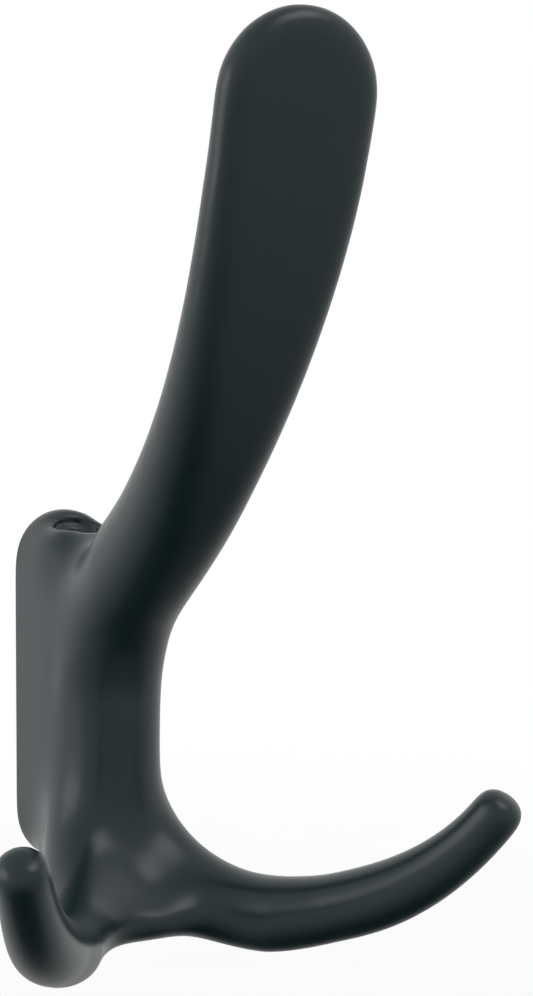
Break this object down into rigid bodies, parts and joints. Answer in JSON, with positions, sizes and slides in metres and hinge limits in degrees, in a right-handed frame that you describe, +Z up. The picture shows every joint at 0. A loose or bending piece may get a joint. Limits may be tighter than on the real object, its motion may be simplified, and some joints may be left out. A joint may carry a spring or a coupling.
{
  "type": "wall hook",
  "caption": "Cast wall hook with a broad paddle-shaped upper prong and a pair of splayed round lower prongs, fixed by a slanted screw.",
  "frame": {"origin": "the middle of the flat back face, on the wall", "axes": "+Z up the wall, +Y into the wall, so the hook stands out toward -Y, and X along the wall"},
  "size_m": [0.0912, 0.0842, 0.1496],
  "materials": {
    "black_coat": "satin black"
  },
  "bodies": {
    "root": {"hook": "black_coat"}
  },
  "joints": []
}
